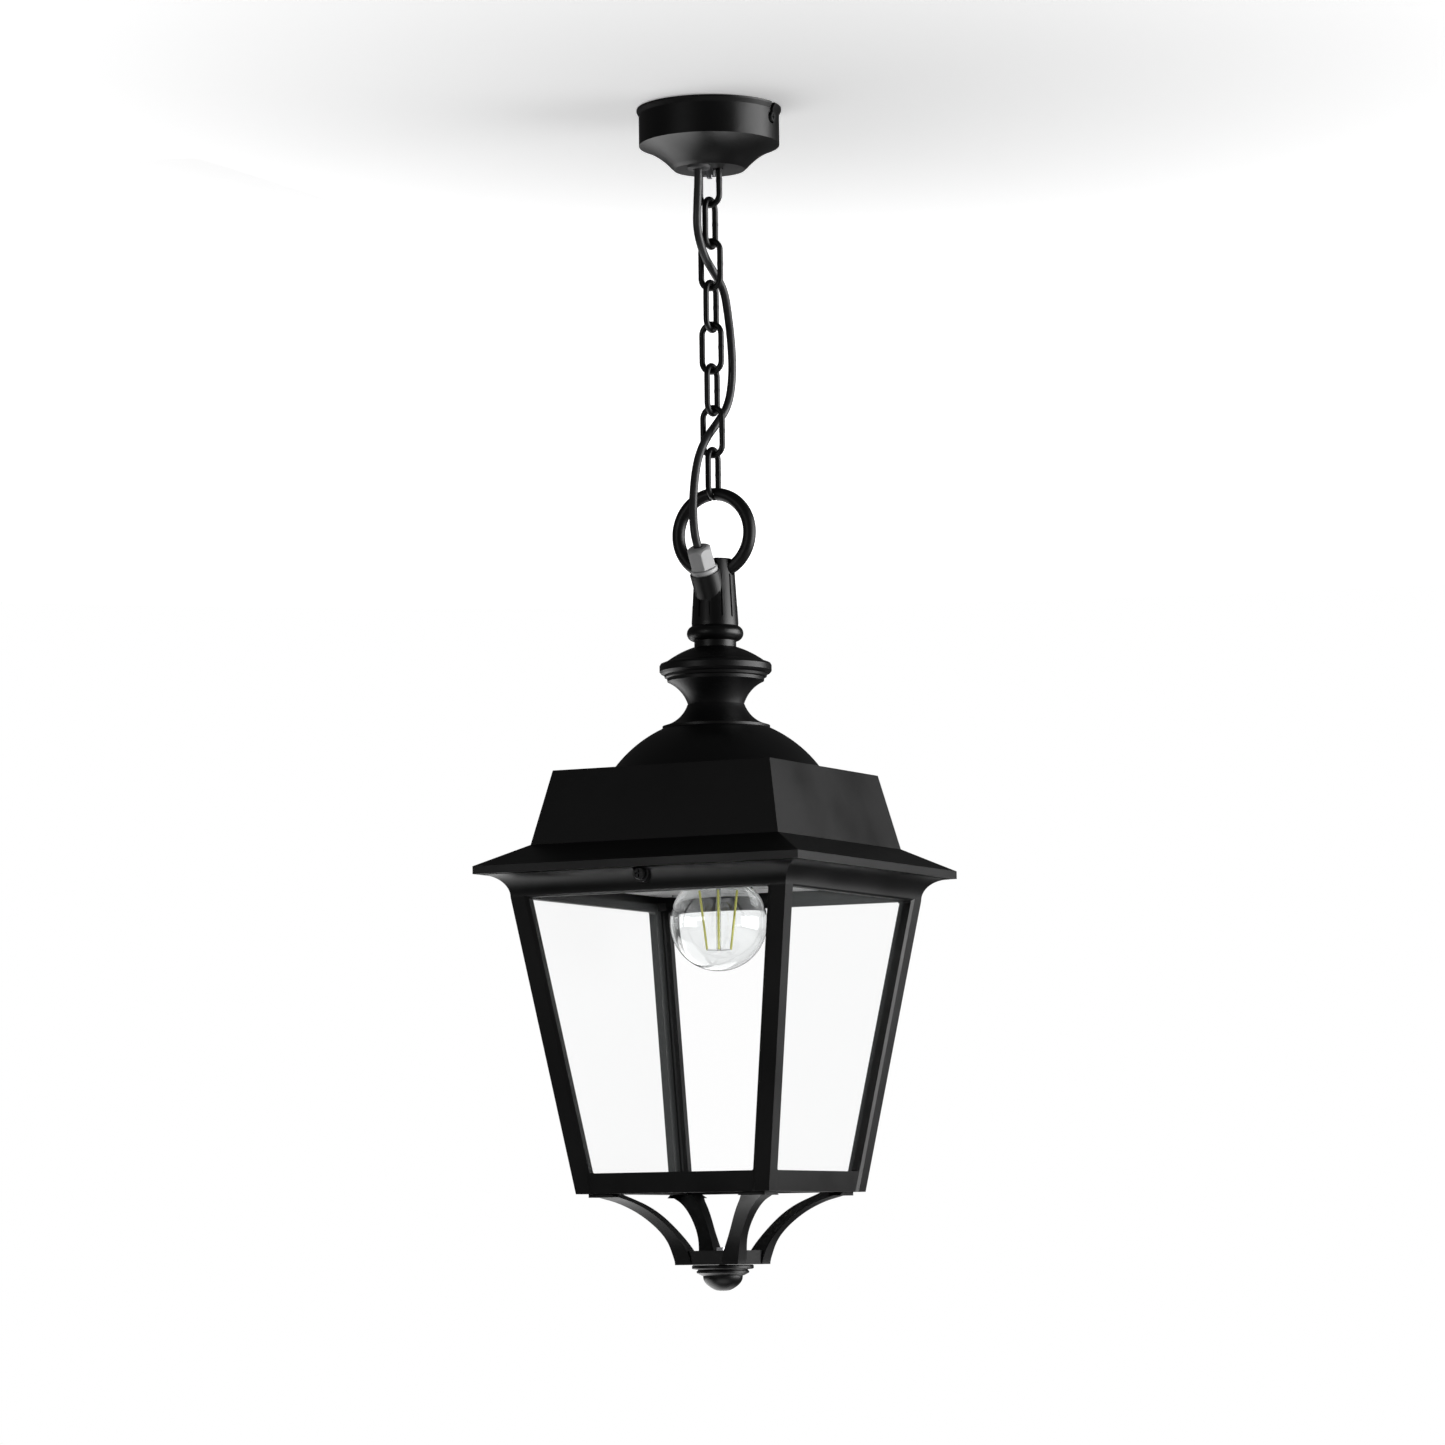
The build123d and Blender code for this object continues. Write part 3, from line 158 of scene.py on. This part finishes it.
# scales are per metre, depths in metres; smoother and rougher are the swing of the roughness
coat = {
    "dark": (0.003, 0.003, 0.0032), "light": (0.006, 0.006, 0.0064), "patch": 14, "patchDetail": 5,
    "smoother": 0.06, "rougher": 0.07, "ripple": 90, "rippleDetail": 2, "rippleDepth": 0.0006,
    "rippleStrength": 0.12, "grain": 900, "grainDetail": 3, "grainDepth": 0.0001, "grainStrength": 0.35,
}
metalLook = {"cloud": 60, "cloudDetail": 5, "rub": 400, "rubDetail": 3, "smoother": 0.08, "rougher": 0.1,
             "depth": 0.0001, "strength": 0.25}
plasticLook = {"cloud": 45, "cloudDetail": 4, "smoother": 0.05, "rougher": 0.08, "grainDetail": 3,
               "depth": 0.0001, "strength": 0.3}
clearLook = {"rimBlend": 0.35, "rimFrom": 0.15, "rimTo": 0.95, "smear": 9, "smearDetail": 4, "rougher": 0.05}
blownLook = {"wave": 30, "waveDetail": 2, "rougher": 0.02, "depth": 0.0004, "strength": 0.06}


def powderCoat(name, c, roughness):
    mat = newMaterial(name, c["dark"], roughness)
    patch = noiseAt(mat, c["patch"], c["patchDetail"])
    plug(mat, blendColor(mat, spread(mat, patch, 0, 1), c["dark"], c["light"]), "Base Color")
    plug(mat, spread(mat, patch, roughness - c["smoother"], roughness + c["rougher"]), "Roughness")
    peel = noiseAt(mat, c["ripple"], c["rippleDetail"])
    grain = noiseAt(mat, c["grain"], c["grainDetail"])
    under = bump(mat, peel, c["rippleDepth"], c["rippleStrength"])
    bump(mat, grain, c["grainDepth"], c["grainStrength"], under)
    return mat


def metal(name, color, darker, roughness):
    look = metalLook
    mat = newMaterial(name, color, roughness, Metallic=1.0)
    cloud = noiseAt(mat, look["cloud"], look["cloudDetail"])
    plug(mat, blendColor(mat, spread(mat, cloud, 0, 1), darker, color), "Base Color")
    rub = noiseAt(mat, look["rub"], look["rubDetail"])
    plug(mat, spread(mat, rub, roughness - look["smoother"], roughness + look["rougher"]), "Roughness")
    bump(mat, rub, look["depth"], look["strength"])
    return mat


def plastic(name, color, darker, roughness, grain=700):
    look = plasticLook
    mat = newMaterial(name, color, roughness)
    cloud = noiseAt(mat, look["cloud"], look["cloudDetail"])
    plug(mat, blendColor(mat, spread(mat, cloud, 0, 1), darker, color), "Base Color")
    plug(mat, spread(mat, cloud, roughness - look["smoother"], roughness + look["rougher"]), "Roughness")
    bump(mat, noiseAt(mat, grain, look["grainDetail"]), look["depth"], look["strength"])
    return mat


def clearGlass(name, tint, face, edge, roughness):
    # thin glass: nearly see-through face on, more solid at the rim
    look = clearLook
    mat = newMaterial(name, tint, roughness)
    rim = mat.node_tree.nodes.new("ShaderNodeLayerWeight")
    rim.inputs["Blend"].default_value = look["rimBlend"]
    smear = noiseAt(mat, look["smear"], look["smearDetail"])
    plug(mat, spread(mat, rim.outputs["Facing"], face, edge, look["rimFrom"], look["rimTo"]), "Alpha")
    plug(mat, spread(mat, smear, roughness, roughness + look["rougher"]), "Roughness")
    return mat


def blownGlass(name, tint, ior, roughness):
    look = blownLook
    mat = newMaterial(name, tint, roughness, Transmission_Weight=1.0, IOR=ior)
    wave = noiseAt(mat, look["wave"], look["waveDetail"])
    plug(mat, spread(mat, wave, roughness, roughness + look["rougher"]), "Roughness")
    bump(mat, wave, look["depth"], look["strength"])
    return mat


finish = {
    "black": powderCoat("black coat", coat, 0.42),
    "chain": powderCoat("chain coat", dict(coat, ripple=220), 0.40),
    "zinc": metal("zinc plate", (0.62, 0.62, 0.64), (0.45, 0.45, 0.47), 0.33),
    "brass": metal("plain brass", (0.7, 0.5, 0.22), (0.5, 0.34, 0.13), 0.3),
    "grommet": plastic("grommet rubber", (0.12, 0.12, 0.125), (0.09, 0.09, 0.09), 0.55),
    "terminal": plastic("terminal block", (0.7, 0.69, 0.65), (0.6, 0.59, 0.55), 0.45),
    "core": plastic("wire insulation", (0.2, 0.09, 0.04), (0.12, 0.05, 0.02), 0.4),
    "cable": plastic("cable sheath", (0.06, 0.06, 0.062), (0.042, 0.042, 0.044), 0.34, 300),
    "gland": plastic("gland nylon", (0.86, 0.86, 0.86), (0.76, 0.76, 0.77), 0.4),
    "seal": plastic("black rubber", (0.02, 0.02, 0.02), (0.01, 0.01, 0.01), 0.6),
    "porcelain": plastic("white porcelain", (0.8, 0.79, 0.76), (0.72, 0.71, 0.68), 0.2, 120),
    "reflector": plastic("bright reflector coat", (0.9, 0.9, 0.9), (0.84, 0.84, 0.84), 0.3, 260),
    "bulb_glass": blownGlass("bulb glass", (0.97, 0.98, 0.98), 1.5, 0.01),
    "cap_metal": metal("nickel cap", (0.7, 0.68, 0.64), (0.52, 0.5, 0.46), 0.28),
    "stem_glass": clearGlass("stem glass", (0.5, 0.51, 0.52), 0.35, 0.8, 0.1),
    "filament": plastic("phosphor rod", (0.72, 0.7, 0.16), (0.6, 0.6, 0.1), 0.6, 900),
    "pane": clearGlass("window glass", (0.8, 0.84, 0.84), 0.004, 0.12, 0.01),
}
# each CAD node takes the finish of its slot; a piece made below replaces some of them
slotOf = {part["node"]: part["material_slot"] for part in frame["record"]["subparts"]}
for name, obj in nodes.items():
    for index in range(max(1, len(obj.material_slots))):
        if not obj.material_slots:
            obj.data.materials.append(finish[slotOf[name]])
        obj.material_slots[index].material = finish[slotOf[name]]

# --- supply cable ---
print("supply cable")
cable = {
    "radius": 3.45 * mm,
    "length": 0.4116,
    "order": 3,
    "steps": 12,
    "sides": 6,
    "route": [  # in mm, from the grommet in the rose down to the gland
        (0, -19.5, -30),
        (0, -19.5, -58),
        (-0.6, -21.4, -84),
        (-2.4, -19.5, -105),
        (-2.4, -7.4, -124.5),
        (-0.6, 6.0, -136.0),
        (3.4, 17.0, -149.5),
        (6.6, 17.8, -172),
        (10.3, 16.0, -198),
        (10.4, 17.2, -223),
        (4.6, 20.6, -246.5),
        (0.2, 8.8, -262.5),
        (-2.3, -6.6, -276.5),
        (-4.2, -18.6, -294),
        (-4.3, -26.0, -316),
        (-3.2, -31.0, -341),
        (-0.6, -33.4, -361.5),
        (0, -25.8, -374.7),
        (0, -8.3, -405.0),
    ],
    "firstLink": -61.2,
    "pitch": 35.0,
    "links": 8,
}


def holderOf(z, c):
    # the body that carries a point of the cable at height z
    if z > c["firstLink"]:
        return "rose"
    number = round((c["firstLink"] - z) / c["pitch"]) + 1
    if number <= c["links"]:
        return "link_%d" % number
    return "lantern"


def makeCable(c):
    data = bpy.data.curves.new("cableCurve", "CURVE")
    data.dimensions = "3D"
    data.resolution_u = c["steps"]
    # the radius sits on the points, so that the curve's own bounds stay tight
    data.bevel_depth = 1.0
    data.bevel_resolution = c["sides"]
    data.use_fill_caps = True
    spline = data.splines.new("NURBS")
    spline.points.add(len(c["route"]) - 1)
    for point, place in zip(spline.points, c["route"]):
        point.co = (*(Vector(place) * mm), 1)
        point.radius = c["radius"]
    spline.order_u = c["order"]
    spline.use_endpoint_u = True
    data.materials.append(finish["cable"])
    obj = bpy.data.objects.new("cable", data)
    scene.collection.objects.link(obj)
    # hooks carry each point with its body, so the cable follows the chain in every pose
    held = {}
    for index, place in enumerate(c["route"]):
        held.setdefault(holderOf(place[2], c), []).append(index)
    for body, indices in held.items():
        hook = obj.modifiers.new("held by " + body, "HOOK")
        hook.object = bodies[body]
        hook.vertex_indices_set(indices)
    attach(obj, "rose")
    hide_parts("supply_cable")


makeCable(cable)

# --- geometry nodes helpers ---


class Tree:
    # a small builder: named inputs, nodes by type, values or links by socket

    def __init__(self, name, inputs):
        self.group = bpy.data.node_groups.new(name, "GeometryNodeTree")
        self.group.interface.new_socket("Geometry", in_out="OUTPUT", socket_type="NodeSocketGeometry")
        self.ids = {}
        for label, value in inputs.items():
            kind = "NodeSocketInt" if isinstance(value, int) else "NodeSocketFloat"
            socket = self.group.interface.new_socket(label, in_out="INPUT", socket_type=kind)
            socket.default_value = value
            self.ids[label] = socket.identifier
        self.inputs = self.group.nodes.new("NodeGroupInput")
        self.output = self.group.nodes.new("NodeGroupOutput")

    def value(self, label):
        return self.inputs.outputs[label]

    def node(self, kind, sockets=(), **settings):
        node = self.group.nodes.new(kind)
        for key, setting in settings.items():
            setattr(node, key, setting)
        for key, source in dict(sockets).items():
            target = node.inputs[key]
            if isinstance(source, bpy.types.NodeSocket):
                self.group.links.new(source, target)
            else:
                target.default_value = source
        return node

    def math(self, operation, first, second):
        return self.node("ShaderNodeMath", {0: first, 1: second}, operation=operation).outputs[0]

    def vector(self, x, y, z):
        return self.node("ShaderNodeCombineXYZ", {0: x, 1: y, 2: z}).outputs[0]

    def end(self, geometry, material):
        real = self.node("GeometryNodeRealizeInstances", {"Geometry": geometry})
        smooth = self.node("GeometryNodeSetShadeSmooth", {"Geometry": real.outputs[0]})
        coated = self.node("GeometryNodeSetMaterial", {"Geometry": smooth.outputs[0], "Material": material})
        self.group.links.new(coated.outputs[0], self.output.inputs["Geometry"])


def bake(name, tree, values, body, replaced):
    # runs a tree on an empty mesh and keeps the result as a plain mesh
    holder = bpy.data.objects.new(name + "Holder", bpy.data.meshes.new(name + "Holder"))
    scene.collection.objects.link(holder)
    mod = holder.modifiers.new("shape", "NODES")
    mod.node_group = tree.group
    for label, value in values.items():
        mod[tree.ids[label]] = value
    holder.update_tag()
    graph = bpy.context.evaluated_depsgraph_get()
    mesh = bpy.data.meshes.new_from_object(holder.evaluated_get(graph), depsgraph=graph)
    bpy.data.objects.remove(holder)
    obj = bpy.data.objects.new(name, mesh)
    scene.collection.objects.link(obj)
    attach(obj, body)
    if replaced:
        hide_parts(*replaced)
    return obj


# --- chain ---
print("chain")
chain = {"count": 8, "firstZ": -61.2 * mm, "pitch": 35 * mm, "wire": 2.45 * mm, "bend": 8.85 * mm,
         "half": 20 * mm, "weldSwell": 0.09, "weldReach": 2.4 * mm, "cornerSteps": 14, "slack": 0.00001,
         "steps": 150, "sides": 24}


def linkTree(c):
    tree = Tree("chain link", {"Height": 0.0, "Turn": 0.0, "Bend": c["bend"], "Half": c["half"],
                               "Wire": c["wire"], "Weld Swell": c["weldSwell"], "Weld Reach": c["weldReach"]})
    loop = tree.node("GeometryNodeCurvePrimitiveQuadrilateral", {
        "Width": tree.math("MULTIPLY", tree.value("Bend"), 2.0),
        "Height": tree.math("MULTIPLY", tree.value("Half"), 2.0)})
    rounded = tree.node("GeometryNodeFilletCurve", {"Curve": loop.outputs[0], "Radius": tree.math(
        "SUBTRACT", tree.value("Bend"), c["slack"]), "Limit Radius": True, "Count": c["cornerSteps"]},
        mode="POLY")
    even = tree.node("GeometryNodeResampleCurve", {"Curve": rounded.outputs[0], "Count": c["steps"]})
    # the weld is a slight swelling half way up one side
    here = tree.node("GeometryNodeInputPosition").outputs[0]
    weld = tree.vector(tree.value("Bend"), 0.0, 0.0)
    away = tree.node("ShaderNodeVectorMath", {0: here, 1: weld}, operation="DISTANCE").outputs["Value"]
    swell = tree.node("ShaderNodeMapRange", {
        "Value": away, "From Min": 0.0, "From Max": tree.value("Weld Reach"),
        "To Min": tree.math("ADD", 1.0, tree.value("Weld Swell")), "To Max": 1.0},
        interpolation_type="SMOOTHSTEP").outputs[0]
    thick = tree.node("GeometryNodeSetCurveRadius", {"Curve": even.outputs[0], "Radius": swell})
    section = tree.node("GeometryNodeCurvePrimitiveCircle", {
        "Resolution": c["sides"], "Radius": tree.value("Wire")})
    wire = tree.node("GeometryNodeCurveToMesh", {
        "Curve": thick.outputs[0], "Profile Curve": section.outputs[0],
        "Scale": tree.node("GeometryNodeInputRadius").outputs[0]})
    upright = tree.node("GeometryNodeTransform", {"Geometry": wire.outputs[0],
                                                  "Rotation": (math.pi / 2, 0, 0)})
    placed = tree.node("GeometryNodeTransform", {
        "Geometry": upright.outputs[0], "Rotation": tree.vector(0.0, 0.0, tree.value("Turn")),
        "Translation": tree.vector(0.0, 0.0, tree.value("Height"))})
    tree.end(placed.outputs[0], finish["chain"])
    return tree


chainTree = linkTree(chain)
for number in range(chain["count"]):
    bake("link%d" % (number + 1), chainTree,
         {"Height": chain["firstZ"] - chain["pitch"] * number, "Turn": math.pi / 2 * (number % 2)},
         "link_%d" % (number + 1), ["chain_link_%d" % (number + 1)])

# --- bulb rods ---
print("bulb rods")
rods = {"count": 6, "topZ": -652 * mm, "footZ": -700 * mm, "topRing": 17.8 * mm, "footRing": 11.2 * mm,
        "radius": 0.9 * mm, "turn": math.radians(-3), "wire": 0.35 * mm, "wireLift": 5 * mm,
        "wireDrop": 0.6 * mm, "stem": 1.2 * mm, "sides": 14}


def spokesTree(name, c, material):
    # one rod between two points of a plane through the axis, repeated round it
    tree = Tree(name, {"Start Ring": 0.0, "Start Z": 0.0, "End Ring": 0.0, "End Z": 0.0,
                       "Radius": c["radius"], "Count": c["count"], "Turn": c["turn"]})
    line = tree.node("GeometryNodeCurvePrimitiveLine", {
        "Start": tree.vector(tree.value("Start Ring"), 0.0, tree.value("Start Z")),
        "End": tree.vector(tree.value("End Ring"), 0.0, tree.value("End Z"))})
    section = tree.node("GeometryNodeCurvePrimitiveCircle", {
        "Resolution": c["sides"], "Radius": tree.value("Radius")})
    rod = tree.node("GeometryNodeCurveToMesh", {
        "Curve": line.outputs[0], "Profile Curve": section.outputs[0], "Fill Caps": True})
    spots = tree.node("GeometryNodePoints", {"Count": tree.value("Count")})
    step = tree.math("DIVIDE", 2 * math.pi, tree.value("Count"))
    index = tree.node("GeometryNodeInputIndex").outputs[0]
    angle = tree.math("ADD", tree.math("MULTIPLY", index, step), tree.value("Turn"))
    around = tree.node("GeometryNodeInstanceOnPoints", {
        "Points": spots.outputs[0], "Instance": rod.outputs[0], "Rotation": tree.vector(0.0, 0.0, angle)})
    tree.end(around.outputs[0], material)
    return tree


bake("phosphorRods", spokesTree("phosphor rods", rods, finish["filament"]),
     {"Start Ring": rods["topRing"], "Start Z": rods["topZ"], "End Ring": rods["footRing"],
      "End Z": rods["footZ"]}, "bulb", ["filaments"])
wireTree = spokesTree("bulb wires", dict(rods, radius=rods["wire"]), finish["zinc"])
bake("upperWires", wireTree,
     {"Start Ring": rods["stem"], "Start Z": rods["topZ"] + rods["wireLift"], "End Ring": rods["topRing"],
      "End Z": rods["topZ"]}, "bulb", ["support_wires"])
bake("lowerWires", wireTree,
     {"Start Ring": rods["stem"], "Start Z": rods["footZ"] - rods["wireDrop"], "End Ring": rods["footRing"],
      "End Z": rods["footZ"]}, "bulb", [])

# --- floor and light ---
print("floor and light")
studio = {
    "floor": {"z": -1.95, "radius": 5.0, "colour": (0.86, 0.86, 0.85), "roughness": 0.7,
              "near": 0.5, "fadeFrom": 0.3, "fadeTo": 3.6, "fromAbove": 1.0, "fromBelow": 0.0},
    "ceiling": {"z": 0.0005, "radius": 3.4, "colour": (0.84, 0.84, 0.84), "roughness": 0.8,
                "near": 0.32, "fadeFrom": 0.1, "fadeTo": 1.25, "fromAbove": 0.0, "fromBelow": 1.0},
    "sky": 0.05,
    "rim": 96,
}


def makeDisc(name, c, rim):
    # pale, and glowing more away from the middle up to white: the weaker glow near the middle is painted
    # shade round the lantern, over the real shadow the lamps cast there; the object isn't lit by it
    pale = newMaterial(name, c["colour"], c["roughness"], Emission_Color=(1, 1, 1, 1))
    place = pale.node_tree.nodes.new("ShaderNodeTexCoord")
    away = pale.node_tree.nodes.new("ShaderNodeVectorMath")
    away.operation = "LENGTH"
    pale.node_tree.links.new(place.outputs["Object"], away.inputs[0])
    # painted shade: the glow is weakest near the middle and rises to white with distance
    glow = spread(pale, away.outputs["Value"], c["near"], 1.0, c["fadeFrom"], c["fadeTo"])
    plug(pale, glow, "Emission Strength")
    # seen from the lantern's side only, so that it hides nothing in a view from beyond it
    side = pale.node_tree.nodes.new("ShaderNodeNewGeometry")
    seen = spread(pale, side.outputs["Backfacing"], c["fromAbove"], c["fromBelow"], 0, 1)
    plug(pale, seen, "Alpha")
    mesh = bpy.data.meshes.new(name)
    shape = bmesh.new()
    bmesh.ops.create_circle(shape, cap_ends=True, segments=rim, radius=c["radius"])
    shape.to_mesh(mesh)
    shape.free()
    mesh.materials.append(pale)
    disc = bpy.data.objects.new(name, mesh)
    disc.location.z = c["z"]
    scene.collection.objects.link(disc)
    disc.visible_glossy = False
    disc.visible_diffuse = False


def makeStudio(c):
    for name in ("floor", "ceiling"):
        makeDisc(name, c[name], c["rim"])
    world = bpy.data.worlds.new("studio")
    world.use_nodes = True
    tree = world.node_tree
    back = tree.nodes["Background"]
    back.inputs["Color"].default_value = (1, 1, 1, 1)
    # what is seen behind the lantern, or through its glass, is white; what lights it is dim
    path = tree.nodes.new("ShaderNodeLightPath")
    seen = tree.nodes.new("ShaderNodeMath")
    seen.operation = "MAXIMUM"
    tree.links.new(path.outputs["Is Camera Ray"], seen.inputs[0])
    tree.links.new(path.outputs["Is Transmission Ray"], seen.inputs[1])
    level = tree.nodes.new("ShaderNodeMapRange")
    level.inputs["To Min"].default_value = c["sky"]
    level.inputs["To Max"].default_value = 1.0
    tree.links.new(seen.outputs["Value"], level.inputs["Value"])
    tree.links.new(level.outputs["Result"], back.inputs["Strength"])
    scene.world = world


lamps = {
    "right window": {"place": (3.2, 1.2, -0.1), "target": (0, 0, -0.6), "size": (3.4, 2.6), "power": 190},
    "floor glow": {"place": (-1.9, 0.9, -1.9), "target": (-1.6, 0.7, 0), "size": (3.0, 3.0), "power": 62},
    "under glow": {"place": (0.3, -0.7, -1.9), "target": (0.2, -0.4, 0), "size": (1.2, 1.2), "power": 4},
    "front fill": {"place": (-0.9, -3.2, -0.3), "target": (0, 0, -0.4), "size": (1.2, 0.5), "power": 7},
}


def softLight(name, c):
    data = bpy.data.lights.new(name, "AREA")
    data.shape = "RECTANGLE"
    data.size, data.size_y = c["size"]
    data.energy = c["power"]
    lamp = bpy.data.objects.new(name, data)
    lamp.location = c["place"]
    aim = Vector(c["target"]) - Vector(c["place"])
    lamp.rotation_euler = aim.to_track_quat("-Z", "Y").to_euler()
    scene.collection.objects.link(lamp)


makeStudio(studio)
for name, lamp in lamps.items():
    softLight(name, lamp)
scene.view_settings.view_transform = "Standard"
